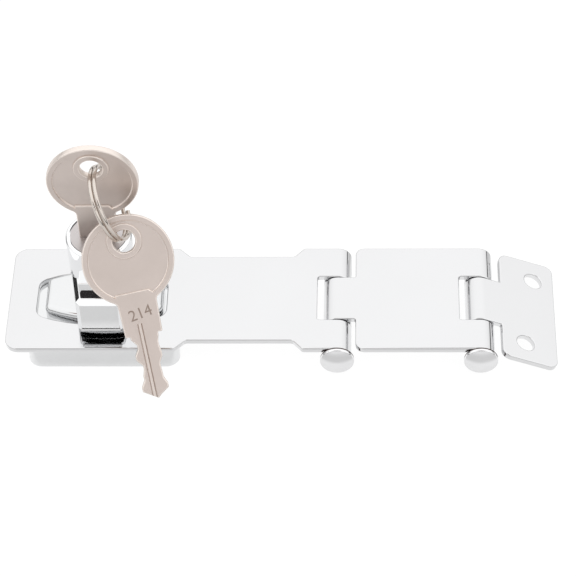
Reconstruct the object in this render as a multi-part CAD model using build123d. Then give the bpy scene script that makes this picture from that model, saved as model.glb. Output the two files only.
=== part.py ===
from build123d import *
import math
import os

# Keyed hasp lock, in millimetres.
# Origin: on the lock's turning axis, in the plane that the base is screwed down to.
# +X runs along the strap to the hinges, +Y to the back, +Z up through the key.

# Base: a cast tray with a bowed boss that stands up through the hasp's slot
tray_length = 33.2
tray_width = 26.8
tray_height = 6.5
tray_wall = 1.5
tray_corner_radius = 3.0
boss_length = 25.8
boss_end_width = 9.0
boss_middle_width = 14.4
boss_above_tray = 3.3
boss_top_round = 0.8
boss_corner_round = 1.5
hub_radius = 7.6
hub_above_floor = 2.6
screw_inset_x = 3.6
screw_inset_y = 3.5
screw_hole_radius = 1.6
screw_head_radius = 2.8
screw_head_depth = 1.2
screw_post_radius = 3.0

# Sheet leaves, one thickness for all three
leaf_thickness = 1.4
leaf_width = 30.0
leaf_corner_radius = 2.0
hasp_left_end = -21.15
hasp_head_corner_radius = 3.0
hasp_head_end = 15.65
strap_width = 25.0
strap_start = 18.15
strap_end = 41.35
strap_flare_end = 43.55
strap_bend_radius = 1.0
slot_centre_x = -0.7
slot_length = 28.5
slot_end_width = 10.2
slot_middle_width = 16.0
slot_corner_radius = 2.6

# Hinges: barrels hang below the leaves, tangent to their top faces
hinge_1_x = 51.05
hinge_pitch = 31.1
barrel_radius = 3.1
curl_angle = 295.0
centre_knuckle_length = 12.4
knuckle_side_gap = 0.2
notch_behind_barrel = 4.4
leaf_setback = 3.95
end_leaf_length = 17.0
end_leaf_hole_radius = 2.05
end_leaf_back_hole = (12.05, 9.3)
end_leaf_front_hole = (9.5, -9.9)

# Hinge pins with one domed head at the front
pin_running_gap = 0.05
pin_head_radius = 3.7
pin_head_gap = 0.15
pin_head_rim = 0.6
pin_head_dome = 1.1

# Knob: barrel, two wings and a shaft down through the boss
shaft_radius = 5.5
shaft_end_height = 0.9
washer_thickness = 0.3
washer_inner_gap = 0.1
washer_outer_radius = 6.7
barrel_top_radius = 7.15
barrel_foot_radius = 6.8
barrel_height = 17.9
rim_outer_chamfer = 0.35
rim_inner_chamfer = 0.25
wing_span = 23.8
wing_end_width = 9.6
wing_root_width = 12.6
wing_root_y = 3.0
wing_height = 9.3
wing_top_chamfer = 1.0
wing_corner_chamfer = 0.7

# Circlip under the hub
clip_thickness = 0.8
clip_play = 0.05
clip_depth = 0.8
clip_outer_radius = 6.9
clip_opening = 6.0

# Plug, which turns inside the knob
running_gap = 0.05
plug_body_radius = 5.3
plug_head_radius = 6.1
plug_head_thickness = 1.85
plug_below_rim = 0.15
chamber_floor_thickness = 0.5
plug_floor_gap = 0.1
tail_hub_radius = 2.9
tail_pin_radius = 0.8

# Locking bolt, which slides across the shaft
bolt_travel = 1.5
bolt_body_width = 6.0
bolt_tail = 3.6
bolt_shoulder = 2.2
bolt_nose_width = 3.0
bolt_nose_setback = 0.1
bolt_height = 2.4
bolt_play = 0.06
pocket_floor_height = 3.6
notch_depth = 1.6

# Keys: two alike, cut from one thickness of sheet
key_thickness = 1.6
bow_radius = 9.75
bow_centre_height = 16.2
key_hole_offset = 4.1
key_hole_radius = 2.4
neck_top_width = 8.6
neck_foot_width = 8.0
neck_round = 1.2
bow_rim_width = 1.2
bow_boss_radius = 3.8
bow_recess_depth = 0.25
neck_step_height = 9.4
neck_step_chamfer = 1.4
blade_width = 6.0
blade_length = 14.0
blade_groove_left = -1.0
blade_groove_right = 0.1
blade_groove_depth = 0.35
blade_groove_rise = 2.5
keyway_gap = 0.08
blade_end_gap = 0.1
ward_gap = 0.12

# Bitting: depth of cut at each wafer, on the two edges of the blade
first_wafer_depth = 2.4
wafer_pitch = 2.3
left_cuts = [1.05, 0.25, 1.4, 1.0, 0.2]
right_cuts = [0.35, 0.1, 0.9, 0.8, 0.15]
cut_flat_length = 0.9
tip_offset = 0.3

# Wafers and their springs
wafer_thickness = 0.8
wafer_play = 0.05
wafer_width = 4.8
wafer_below_surface = 0.05
lug_width = 1.2
lug_reach = 1.4
lug_travel = 0.9
shell_groove_depth = 0.6
spring_radius = 0.6
spring_wire = 0.24
spring_length = 2.5
spring_turns = 3.5
spring_pocket_gap = 0.1
retainer_inner_x = 3.4
retainer_width = 3.0
retainer_below_last_wafer = 1.75
retainer_reach = 0.65
retainer_groove_gap = 0.1

# Spare key: where its hole is, and how it leans and turns
spare_hole = (6.6, -9.2, 35.4)
spare_turn = 18.05
spare_lean = 38.3
spare_roll = 7.0

# Split ring: two turns of wire through both keys
ring_centre = (3.64, -3.37, 40.84)
ring_axis = (0.921, 0.042, 0.387)
ring_mean_radius = 8.18
ring_wire_radius = 0.45
ring_pitch = 1.0
ring_turns = 1.9
ring_jog_angle = 30.0
ring_jog_place = 250.0

# Heights and places that follow from the sizes above
leaf_top = tray_height + leaf_thickness
hinge_axis_z = leaf_top - barrel_radius
hinge_2_x = hinge_1_x + hinge_pitch
pin_radius = barrel_radius - leaf_thickness - pin_running_gap
boss_top = tray_height + boss_above_tray
knob_foot = boss_top + washer_thickness
knob_rim = knob_foot + barrel_height
chamber_floor = knob_foot + chamber_floor_thickness
plug_top = knob_rim - plug_below_rim
plug_shoulder = plug_top - plug_head_thickness
plug_foot = chamber_floor + plug_floor_gap
bolt_floor = pocket_floor_height + bolt_play
bolt_top = bolt_floor + bolt_height
tail_radius = bolt_travel / math.sqrt(2)
outer_knuckle_start = centre_knuckle_length / 2 + knuckle_side_gap
key_hole_height = bow_centre_height + key_hole_offset
wafer_count = len(left_cuts)
wafer_heights = [plug_top - first_wafer_depth - i * wafer_pitch for i in range(wafer_count)]
retainer_height = wafer_heights[-1] - retainer_below_last_wafer

# The end leaf hangs until the lower edge of its tip touches the floor
tip_reach = math.hypot(end_leaf_length, barrel_radius - leaf_thickness)
tip_rise = math.atan2(barrel_radius - leaf_thickness, end_leaf_length)
end_leaf_droop = math.degrees(math.asin(hinge_axis_z / tip_reach) + tip_rise)


def block(x0, x1, y0, y1, z0, z1):
    """A box between two corners."""
    centre = ((x0 + x1) / 2, (y0 + y1) / 2, (z0 + z1) / 2)
    return Pos(*centre) * Box(x1 - x0, y1 - y0, z1 - z0)


def disc(radius, z0, z1):
    """A cylinder about the lock's axis."""
    return Pos(0, 0, (z0 + z1) / 2) * Cylinder(radius, z1 - z0)


def bowed_outline(length, end_width, middle_width, corner):
    """A rectangle whose two long sides bow outwards in one arc each."""
    x = length / 2
    y = end_width / 2
    front = ThreePointArc((-x, -y), (0, -middle_width / 2), (x, -y))
    back = ThreePointArc((x, y), (0, middle_width / 2), (-x, y))
    outline = make_face([front, Line((x, -y), (x, y)), back, Line((-x, y), (-x, -y))])
    return fillet(outline.vertices(), corner)


def curl(hinge_x, y0, y1, side):
    """Sheet rolled from the leaf's top face round the pin; side is +1 for a leaf on the left."""
    plane = Plane(origin=(hinge_x, y1, hinge_axis_z), x_dir=(1, 0, 0), z_dir=(0, -1, 0))
    sweep_angle = -side * curl_angle
    outer = CenterArc((0, 0), barrel_radius, 90, sweep_angle)
    inner = CenterArc((0, 0), barrel_radius - leaf_thickness, 90, sweep_angle)
    ends = [Line(outer @ 0, inner @ 0), Line(outer @ 1, inner @ 1)]
    profile = make_face([outer, inner] + ends)
    return extrude(plane * profile, y1 - y0)


def outer_knuckles(hinge_x):
    """The two knuckles at the edges of the leaf on the hinge's left."""
    back = curl(hinge_x, outer_knuckle_start, leaf_width / 2, 1)
    front = curl(hinge_x, -leaf_width / 2, -outer_knuckle_start, 1)
    return back + front


def knuckle_notch(hinge_x):
    """The cut-out that lets the next leaf's centre knuckle in."""
    y = outer_knuckle_start
    return block(hinge_x - notch_behind_barrel, hinge_x + barrel_radius, -y, y, 0, leaf_top + 1)


def centre_tongue(hinge_x):
    """The centre knuckle and the strip that joins it to the leaf on the hinge's right."""
    y = centre_knuckle_length / 2
    strip = block(hinge_x, hinge_x + leaf_setback + 0.5, -y, y, tray_height, leaf_top)
    return strip + curl(hinge_x, -y, y, -1)


def sheet(outline):
    """A flat outline given the leaves' thickness, with its top at the leaves' top."""
    return Pos(0, 0, tray_height) * extrude(outline, leaf_thickness)


def make_hasp_leaf():
    head_y = leaf_width / 2
    strap_y = strap_width / 2
    side = [
        (hasp_head_end, head_y),
        (strap_start, strap_y),
        (strap_end, strap_y),
        (strap_flare_end, head_y),
    ]
    back = [(hasp_left_end, head_y)] + side + [(hinge_1_x, head_y)]
    front = [(x, -y) for x, y in reversed(back)]
    outline = make_face(Polyline(*back, *front, close=True))
    head_corners = outline.vertices().filter_by_position(Axis.X, hasp_left_end - 1, hasp_left_end + 1)
    outline = fillet(head_corners, hasp_head_corner_radius)
    bends = outline.vertices().filter_by_position(Axis.X, hasp_head_end - 0.1, strap_flare_end + 0.1)
    outline = fillet(bends, strap_bend_radius)
    slot = bowed_outline(slot_length, slot_end_width, slot_middle_width, slot_corner_radius)
    plate = sheet(outline - Pos(slot_centre_x, 0) * slot)
    return plate - knuckle_notch(hinge_1_x) + outer_knuckles(hinge_1_x)


def make_middle_leaf():
    left = hinge_1_x + leaf_setback
    y = leaf_width / 2
    outline = make_face(Polyline((left, -y), (hinge_2_x, -y), (hinge_2_x, y), (left, y), close=True))
    left_corners = outline.vertices().filter_by_position(Axis.X, left - 0.1, left + 0.1)
    plate = sheet(fillet(left_corners, leaf_corner_radius))
    plate = plate + centre_tongue(hinge_1_x)
    return plate - knuckle_notch(hinge_2_x) + outer_knuckles(hinge_2_x)


def make_end_leaf():
    left = hinge_2_x + leaf_setback
    right = hinge_2_x + end_leaf_length
    y = leaf_width / 2
    outline = make_face(Polyline((left, -y), (right, -y), (right, y), (left, y), close=True))
    outline = fillet(outline.vertices(), leaf_corner_radius)
    for reach, hole_y in (end_leaf_back_hole, end_leaf_front_hole):
        outline = outline - Pos(hinge_2_x + reach, hole_y) * Circle(end_leaf_hole_radius)
    flat_leaf = sheet(outline) + centre_tongue(hinge_2_x)
    axis = Axis((hinge_2_x, 0, hinge_axis_z), (0, 1, 0))
    return flat_leaf.rotate(axis, end_leaf_droop)


def make_hinge_pin(hinge_x):
    """A shank flush with the back edge, and a domed head outside the front edge."""
    head_y = -leaf_width / 2 - pin_head_gap
    shank = Line((0, leaf_width / 2), (pin_radius, leaf_width / 2))
    side = Line((pin_radius, leaf_width / 2), (pin_radius, head_y))
    under_head = Line((pin_radius, head_y), (pin_head_radius, head_y))
    rim_y = head_y - pin_head_rim
    rim = Line((pin_head_radius, head_y), (pin_head_radius, rim_y))
    crown_y = rim_y - pin_head_dome
    dome_radius = (pin_head_radius**2 + pin_head_dome**2) / (2 * pin_head_dome)
    half_x = pin_head_radius / 2
    half_y = crown_y + dome_radius - math.sqrt(dome_radius**2 - half_x**2)
    dome = ThreePointArc((pin_head_radius, rim_y), (half_x, half_y), (0, crown_y))
    core = Line((0, crown_y), (0, leaf_width / 2))
    profile = make_face([shank, side, under_head, rim, dome, core])
    return Pos(hinge_x, 0, hinge_axis_z) * revolve(profile, Axis.Y)


def screw_places():
    x = tray_length / 2 - screw_inset_x
    y = tray_width / 2 - screw_inset_y
    return [(sx * x, sy * y) for sx in (-1, 1) for sy in (-1, 1)]


def bolt_notch():
    """Room in the boss for the bolt's nose, along +X."""
    half = bolt_nose_width / 2 + 0.15
    far = shaft_radius + notch_depth
    return block(shaft_radius - 1, far, -half, half, pocket_floor_height, bolt_top + bolt_play)


def make_base():
    tray_outline = fillet(Rectangle(tray_length, tray_width).vertices(), tray_corner_radius)
    inner_radius = tray_corner_radius - tray_wall
    inner = Rectangle(tray_length - 2 * tray_wall, tray_width - 2 * tray_wall)
    hollow = extrude(fillet(inner.vertices(), inner_radius), tray_height - tray_wall)
    body = extrude(tray_outline, tray_height) - hollow
    boss_plan = bowed_outline(boss_length, boss_end_width, boss_middle_width, boss_corner_round)
    boss = Pos(0, 0, tray_height - tray_wall / 2) * extrude(boss_plan, boss_above_tray + tray_wall / 2)
    boss = fillet(boss.faces().sort_by(Axis.Z)[-1].edges(), boss_top_round)
    body = body + boss + disc(hub_radius, hub_above_floor, tray_height)
    for x, y in screw_places():
        body = body + Pos(x, y, tray_height / 2) * Cylinder(screw_post_radius, tray_height)
    body = body & extrude(tray_outline, boss_top + 1)
    body = body - disc(shaft_radius + running_gap, 0, boss_top + 1)
    for x, y in screw_places():
        sink = Pos(x, y, tray_height - screw_head_depth / 2)
        body = body - Pos(x, y, tray_height / 2) * Cylinder(screw_hole_radius, tray_height + 1)
        body = body - sink * Cone(screw_hole_radius, screw_head_radius, screw_head_depth)
    notch = bolt_notch()
    return body - notch - notch.rotate(Axis.Z, -90)


def make_wings():
    """One bar through the barrel that narrows to both ends, with bevelled edges."""
    end_x = wing_end_width / 2
    end_y = wing_span / 2
    root_x = wing_root_width / 2
    right = [(root_x, -wing_root_y), (root_x, wing_root_y), (end_x, end_y)]
    left = [(-end_x, end_y), (-root_x, wing_root_y), (-root_x, -wing_root_y)]
    outline = make_face(Polyline((end_x, -end_y), *right, *left, (-end_x, -end_y), close=True))
    outline = chamfer(
        outline.vertices().filter_by_position(Axis.Y, end_y - 0.1, end_y + 0.1)
        + outline.vertices().filter_by_position(Axis.Y, -end_y - 0.1, -end_y + 0.1),
        wing_corner_chamfer,
    )
    bar = Pos(0, 0, knob_foot) * extrude(outline, wing_height)
    return chamfer(bar.faces().sort_by(Axis.Z)[-1].edges(), wing_top_chamfer)


def make_knob_body():
    barrel_middle = Pos(0, 0, knob_foot + barrel_height / 2)
    barrel = barrel_middle * Cone(barrel_foot_radius, barrel_top_radius, barrel_height)
    barrel = chamfer(barrel.edges().sort_by(Axis.Z)[-1], rim_outer_chamfer)
    body = barrel + make_wings() + disc(shaft_radius, shaft_end_height, knob_foot + 1)
    bore = disc(plug_body_radius + running_gap, chamber_floor, knob_rim + 1)
    head_room = disc(plug_head_radius + running_gap, plug_shoulder, knob_rim + 1)
    lip_radius = plug_head_radius + running_gap
    lip = Pos(0, 0, knob_rim - rim_inner_chamfer / 2)
    body = body - bore - head_room
    body = body - lip * Cone(lip_radius, lip_radius + rim_inner_chamfer, rim_inner_chamfer)
    # Four grooves that the wafers spring into, so the key draws out in either position
    groove_x = plug_body_radius + shell_groove_depth
    groove_y = wafer_width / 2 + wafer_play
    groove_foot = wafer_heights[-1] - wafer_thickness
    groove = block(-groove_x, groove_x, -groove_y, groove_y, groove_foot, plug_shoulder)
    body = body - groove - groove.rotate(Axis.Z, 90)
    # The ring groove that the retaining wafer runs in
    ring_foot = retainer_height - retainer_groove_gap
    ring_top = retainer_height + wafer_thickness + retainer_groove_gap
    ring_groove = disc(plug_body_radius + retainer_reach + retainer_groove_gap, ring_foot, ring_top)
    body = body - ring_groove
    # The pocket that the bolt drops into from above, and the slot for its nose
    half = bolt_body_width / 2 + bolt_play
    back = bolt_tail + 0.1
    ahead = bolt_shoulder + bolt_travel + 0.1
    pocket = block(-back, ahead, -half, half, pocket_floor_height, chamber_floor + 0.5)
    nose_half = bolt_nose_width / 2 + bolt_play
    nose_slot = block(0, shaft_radius + 1, -nose_half, nose_half, pocket_floor_height, bolt_top + bolt_play)
    body = body - pocket - nose_slot
    # The groove for the circlip
    groove_top = hub_above_floor - clip_play
    groove_foot_z = groove_top - clip_thickness - 2 * clip_play
    clip_groove = disc(shaft_radius + 1, groove_foot_z, groove_top)
    return body - (clip_groove - disc(shaft_radius - clip_depth, groove_foot_z, groove_top))


def make_thrust_washer():
    inner = shaft_radius + washer_inner_gap
    return disc(washer_outer_radius, boss_top, knob_foot) - disc(inner, boss_top, knob_foot)


def make_circlip():
    top = hub_above_floor - 2 * clip_play
    foot = top - clip_thickness
    ring = disc(clip_outer_radius, foot, top) - disc(shaft_radius - clip_depth + clip_play, foot, top)
    return ring - block(-clip_outer_radius, 0, -clip_opening / 2, clip_opening / 2, foot - 1, top + 1)


def make_locking_bolt():
    """A flat slide with a cross slot for the plug's tail pin; its nose locks in the boss."""
    half = bolt_body_width / 2
    nose_half = bolt_nose_width / 2
    nose = block(0, shaft_radius, -nose_half, nose_half, bolt_floor, bolt_top)
    nose = nose & disc(shaft_radius - bolt_nose_setback, bolt_floor, bolt_top)
    body = block(-bolt_tail, bolt_shoulder, -half, half, bolt_floor, bolt_top) + nose
    pin_x = -bolt_travel / 2
    slot_half = tail_pin_radius + 0.1
    slot = block(
        pin_x - slot_half,
        pin_x + slot_half,
        tail_radius / math.sqrt(2) - slot_half,
        tail_radius + slot_half,
        bolt_floor - 1,
        bolt_top + 1,
    )
    return body - slot


def wafer_side(index):
    """Wafers face front and back by turns."""
    return 1 if index % 2 == 0 else -1


def make_wafer(index):
    """A flat plate with a window for the blade and a lug that its spring pushes on."""
    z0 = wafer_heights[index] - wafer_thickness / 2
    z1 = z0 + wafer_thickness
    half = wafer_width / 2
    plate = block(-plug_body_radius, plug_body_radius, -half, half, z0, z1)
    plate = plate & disc(plug_body_radius - wafer_below_surface, z0, z1)
    lug = block(-lug_width / 2, lug_width / 2, half - 0.5, half + lug_reach, z0, z1)
    window_x = blade_width / 2 + 2 * keyway_gap
    window_y = key_thickness / 2 + 2 * keyway_gap
    wafer = plate + lug - block(-window_x, window_x, -window_y, window_y, z0 - 1, z1 + 1)
    return wafer if wafer_side(index) > 0 else wafer.rotate(Axis.Z, 180)


def spring_place(index):
    """Start of a wafer's spring, on the far side of its lug, with its direction."""
    side = wafer_side(index)
    y = wafer_width / 2 + lug_reach / 2
    return (side * (lug_width / 2 + 0.02), side * y, wafer_heights[index]), side


def make_wafer_spring(index):
    (x, y, z), side = spring_place(index)
    coil_radius = spring_radius - spring_wire / 2
    coil_length = spring_length - spring_wire
    path = Helix(coil_length / spring_turns, coil_length, coil_radius)
    wire = Plane(origin=path @ 0, x_dir=(1, 0, 0), z_dir=path % 0) * Rectangle(spring_wire, spring_wire)
    coil = Pos(0, 0, spring_wire / 2) * sweep(wire, path=path, is_frenet=True)
    lay = Plane(origin=(x, y, z), x_dir=(0, 0, 1), z_dir=(side, 0, 0))
    return lay * coil


def make_retaining_wafer():
    top = retainer_height + wafer_thickness
    reach = plug_body_radius + retainer_reach
    half = retainer_width / 2
    bar = block(retainer_inner_x, reach, -half, half, retainer_height, top)
    return bar & disc(reach, retainer_height, top)


def make_lock_plug():
    body = disc(plug_body_radius, plug_foot, plug_shoulder)
    body = body + disc(plug_head_radius, plug_shoulder, plug_top)
    body = body + disc(tail_hub_radius, bolt_top + bolt_play, plug_foot)
    pin_x = -tail_radius / math.sqrt(2)
    pin_foot = bolt_floor + 0.2
    pin_length = plug_foot - pin_foot
    tail_pin = Pos(pin_x, -pin_x, pin_foot + pin_length / 2) * Cylinder(tail_pin_radius, pin_length)
    body = body + tail_pin
    # Keyway, with the ward that the blade's groove passes over
    way_x = blade_width / 2 + keyway_gap
    way_y = key_thickness / 2 + keyway_gap
    way_foot = plug_top - blade_length - blade_end_gap
    keyway = block(-way_x, way_x, -way_y, way_y, way_foot, plug_top + 1)
    ward_top = plug_top - first_wafer_depth / 2
    ward = block(
        blade_groove_left + ward_gap,
        blade_groove_right - ward_gap,
        -way_y - 0.1,
        -key_thickness / 2 + blade_groove_depth - ward_gap,
        way_foot,
        ward_top,
    )
    body = body - (keyway - ward)
    # A slot for each wafer, with room for its lug and its spring
    slot_half = wafer_width / 2 + wafer_play
    rise = wafer_thickness / 2 + wafer_play
    for index, height in enumerate(wafer_heights):
        side = wafer_side(index)
        full = plug_body_radius + 1
        slot = block(-full, full, -slot_half, slot_half, height - rise, height + rise)
        lug_back = lug_width / 2 + lug_travel
        lug_front = lug_width / 2 + 0.02
        lug_top = slot_half + lug_reach
        lug_room = block(-lug_back, lug_front, 0, lug_top, height - rise, height + rise)
        pocket_radius = spring_radius + spring_pocket_gap
        (x, y, z), side = spring_place(index)
        lay = Plane(origin=(x, y, z), z_dir=(side, 0, 0))
        pocket = lay * extrude(Circle(pocket_radius), spring_length + spring_pocket_gap)
        body = body - slot - (lug_room if side > 0 else lug_room.rotate(Axis.Z, 180)) - pocket
    half = retainer_width / 2 + wafer_play
    low = retainer_height - wafer_play
    high = retainer_height + wafer_thickness + wafer_play
    return body - block(retainer_inner_x - wafer_play, plug_body_radius + 1, -half, half, low, high)


def blade_edge(cuts, side):
    """Points down one edge of the blade, with a flat at each wafer and slopes between."""
    points = []
    for index, cut in enumerate(cuts):
        depth = first_wafer_depth + index * wafer_pitch
        x = side * (blade_width / 2 - cut)
        points.append((x, -depth + cut_flat_length / 2))
        points.append((x, -depth - cut_flat_length / 2))
    return points


def make_key():
    """The key with the middle of its shoulder at the origin and its bow up +Z."""
    half = blade_width / 2
    left_edge = [(-half, 0), (-half, -0.6)] + blade_edge(left_cuts, -1)
    right_edge = [(half, 0), (half, -0.6)] + blade_edge(right_cuts, 1)
    tip = [
        (tip_offset - 0.5, -blade_length + 0.3),
        (tip_offset, -blade_length),
        (tip_offset + 0.7, -blade_length + 0.7),
    ]
    blade = make_face(Polyline(*left_edge, *tip, *reversed(right_edge), close=True))
    neck_top = bow_centre_height - bow_radius / 2
    neck = [
        (-neck_foot_width / 2, 0),
        (neck_foot_width / 2, 0),
        (neck_top_width / 2, neck_top),
        (-neck_top_width / 2, neck_top),
    ]
    bow = Pos(0, bow_centre_height) * Circle(bow_radius)
    outline = bow + make_face(Polyline(*neck, close=True))
    crook_z = bow_centre_height - math.sqrt(bow_radius**2 - (neck_top_width / 2) ** 2)
    crooks = outline.vertices().filter_by_position(Axis.Y, crook_z - 0.5, crook_z + 0.5)
    outline = fillet(crooks, neck_round) + blade
    outline = outline - Pos(0, key_hole_height) * Circle(key_hole_radius)
    front = Plane(origin=(0, key_thickness / 2, 0), x_dir=(1, 0, 0), z_dir=(0, -1, 0))
    key = extrude(front * outline, key_thickness)
    # Both faces of the bow are pressed in between its rim, the boss round the hole and the neck
    step = neck_step_height
    cut = neck_step_chamfer
    plate_x = neck_top_width / 2
    plate = [(-plate_x, 0), (plate_x, 0), (plate_x, step - cut), (plate_x - cut, step), (-plate_x, step)]
    neck_plate = make_face(Polyline(*plate, close=True))
    recess = Pos(0, bow_centre_height) * Circle(bow_radius - bow_rim_width)
    recess = recess - Pos(0, key_hole_height) * Circle(bow_boss_radius)
    recess = recess - neck_plate
    for y in (key_thickness / 2 + 1, -key_thickness / 2 + bow_recess_depth):
        face = Plane(origin=(0, y, 0), x_dir=(1, 0, 0), z_dir=(0, -1, 0))
        key = key - extrude(face * recess, 1 + bow_recess_depth)
    groove_face = -key_thickness / 2
    groove = block(
        blade_groove_left,
        blade_groove_right,
        groove_face - 1,
        groove_face + blade_groove_depth,
        -blade_length - 1,
        blade_groove_rise,
    )
    return key - groove


def make_key_ring():
    """A split ring: one wire in two flat turns, with a jog that steps from one to the other."""
    turn = (360 * ring_turns - ring_jog_angle) / 2
    section = Plane.XZ * Pos(ring_mean_radius, 0) * Circle(ring_wire_radius)
    one_turn = revolve(section, Axis.Z, turn)
    first = Pos(0, 0, -ring_pitch / 2) * one_turn.rotate(Axis.Z, ring_jog_place - ring_jog_angle / 2 - turn)
    second = Pos(0, 0, ring_pitch / 2) * one_turn.rotate(Axis.Z, ring_jog_place + ring_jog_angle / 2)
    low = Vector(ring_mean_radius, 0, -ring_pitch / 2).rotate(Axis.Z, ring_jog_place - ring_jog_angle / 2)
    high = Vector(ring_mean_radius, 0, ring_pitch / 2).rotate(Axis.Z, ring_jog_place + ring_jog_angle / 2)
    low_way = Vector(0, 1, 0).rotate(Axis.Z, ring_jog_place - ring_jog_angle / 2)
    high_way = Vector(0, 1, 0).rotate(Axis.Z, ring_jog_place + ring_jog_angle / 2)
    path = Spline(low, high, tangents=[low_way, high_way])
    jog = sweep(Plane(origin=low, z_dir=low_way) * Circle(ring_wire_radius), path=path)
    towards_key = Vector(0, 0, plug_top + key_hole_height) - Vector(*ring_centre)
    lay = Plane(origin=ring_centre, x_dir=towards_key, z_dir=ring_axis)
    return lay * (first + jog + second)


key = make_key()
spare_pose = Location(spare_hole) * Rot(Z=spare_turn) * Rot(X=-spare_lean) * Rot(Z=-spare_roll)

nodes = {
    "base": make_base(),
    "knob_body": make_knob_body(),
    "thrust_washer": make_thrust_washer(),
    "circlip": make_circlip(),
    "locking_bolt": make_locking_bolt(),
    "lock_plug": make_lock_plug(),
    "retaining_wafer": make_retaining_wafer(),
    "hasp_leaf": make_hasp_leaf(),
    "middle_leaf": make_middle_leaf(),
    "end_leaf": make_end_leaf(),
    "hinge_pin_1": make_hinge_pin(hinge_1_x),
    "hinge_pin_2": make_hinge_pin(hinge_2_x),
    "key_in_lock": Pos(0, 0, plug_top) * key,
    "spare_key": spare_pose * Pos(0, 0, -key_hole_height) * key,
    "key_ring": make_key_ring(),
}
for index in range(wafer_count):
    nodes[f"wafer_{index + 1}"] = make_wafer(index)
    nodes[f"wafer_spring_{index + 1}"] = make_wafer_spring(index)

os.makedirs("parts", exist_ok=True)
for name, solid in nodes.items():
    export_step(solid, f"parts/{name}.step")
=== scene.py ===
import math

import bmesh
import bpy
from mathutils import Matrix, Vector


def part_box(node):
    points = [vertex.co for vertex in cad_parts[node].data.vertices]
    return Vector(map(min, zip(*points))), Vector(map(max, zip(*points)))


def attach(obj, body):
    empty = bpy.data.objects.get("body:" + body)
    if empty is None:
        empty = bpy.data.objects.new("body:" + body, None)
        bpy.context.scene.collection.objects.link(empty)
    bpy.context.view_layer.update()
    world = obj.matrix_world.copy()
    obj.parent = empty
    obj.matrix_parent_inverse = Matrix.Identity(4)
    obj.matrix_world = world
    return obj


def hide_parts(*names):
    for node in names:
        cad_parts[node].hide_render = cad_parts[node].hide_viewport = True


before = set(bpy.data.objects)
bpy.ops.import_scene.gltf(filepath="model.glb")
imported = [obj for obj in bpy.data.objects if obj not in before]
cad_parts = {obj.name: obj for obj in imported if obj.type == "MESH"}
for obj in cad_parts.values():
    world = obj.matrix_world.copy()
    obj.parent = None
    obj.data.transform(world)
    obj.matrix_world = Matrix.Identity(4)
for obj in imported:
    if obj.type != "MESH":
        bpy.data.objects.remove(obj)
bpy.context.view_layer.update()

# Camera
# It stands in front of the lock and a little to its right, and looks down on it.
camera_turn = math.radians(2.756)
camera_dip = math.radians(47.10)
camera_roll = math.radians(2.065)
camera_target = Vector((0.04011, 0.00283, 0.0079))
camera_distance = 0.5632
camera_lens = 159.7

forward = Vector((
    -math.sin(camera_turn) * math.cos(camera_dip),
    math.cos(camera_turn) * math.cos(camera_dip),
    -math.sin(camera_dip),
))
level = Vector((math.cos(camera_turn), math.sin(camera_turn), 0))
upright = level.cross(forward)
right = level * math.cos(camera_roll) - upright * math.sin(camera_roll)
up = level * math.sin(camera_roll) + upright * math.cos(camera_roll)
camera_place = Matrix((right, up, -forward)).transposed().to_4x4()
camera_place.translation = camera_target - forward * camera_distance

camera = bpy.data.objects.new("camera", bpy.data.cameras.new("camera"))
camera.data.lens = camera_lens
camera.data.sensor_width = 36
camera.data.clip_start = 0.01
camera.matrix_world = camera_place
bpy.context.scene.collection.objects.link(camera)
bpy.context.scene.camera = camera
bpy.context.scene.view_settings.view_transform = "Standard"


# Studio
# White paper, lit from below, under a white tent. The chrome mirrors the tent, the dark opening in
# its front that the camera looks through, and a dark band where its skirt meets the table.
floor_size = 2.4
floor_drop = 0.00002
paper_glow = 0.93
paper_white = 0.12
fibre_size = 900
fibre_strength = 0.02
mirrored_reach = 0.1
mirrored_steps = [
    (0.0, 0.90), (0.13, 0.88), (0.15, 0.70), (0.21, 0.68), (0.245, 0.42), (0.32, 0.40), (0.8, 0.60),
]
mirrored_white = 0.30
tent_seen = 1.15
tent_steps = [(0.0, 0.03), (0.085, 0.05), (0.13, 0.9), (0.3, 1.15), (0.62, 1.26), (1.0, 1.3)]
opening_way = Vector((0.0, -0.655, 0.755))
opening_squeeze = Vector((0.45, 1, 1))
opening_steps = [
    (0.0, (0.02, 0.02, 0.02)), (0.155, (0.03, 0.025, 0.025)), (0.185, (0.22, 0.11, 0.085)),
    (0.23, (1, 1, 1)),
]


def feed(tree, node, values):
    """Gives a node's inputs plain values or the outputs of other nodes."""
    for label, value in values.items():
        if isinstance(value, bpy.types.NodeSocket):
            tree.links.new(value, node.inputs[label])
        else:
            node.inputs[label].default_value = value
    return node

def add_node(tree, kind, values=None, **settings):
    """A new node with its settings made and its inputs fed."""
    node = tree.nodes.new(kind)
    for label, setting in settings.items():
        setattr(node, label, setting)
    return feed(tree, node, values or {})

def mix_colours(tree, factor, first, second, blend="MIX"):
    """Mixes two colours, each a node's output or a plain (red, green, blue)."""
    first, second = ((*c, 1) if isinstance(c, tuple) else c for c in (first, second))
    values = {"Factor": factor, "A": first, "B": second}
    mix = add_node(tree, "ShaderNodeMix", values, data_type="RGBA", blend_type=blend)
    return mix.outputs["Result"]

def add_ramp(tree, factor, steps):
    """A colour ramp with one stop for each (position, tone)."""
    ramp = add_node(tree, "ShaderNodeValToRGB", {"Fac": factor})
    stops = ramp.color_ramp.elements
    while len(stops) < len(steps):
        stops.new(0.5)
    for stop, (position, tone) in zip(stops, steps):
        stop.position = position
        stop.color = (*tone, 1) if isinstance(tone, tuple) else (tone, tone, tone, 1)
    return ramp.outputs["Color"]

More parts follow.
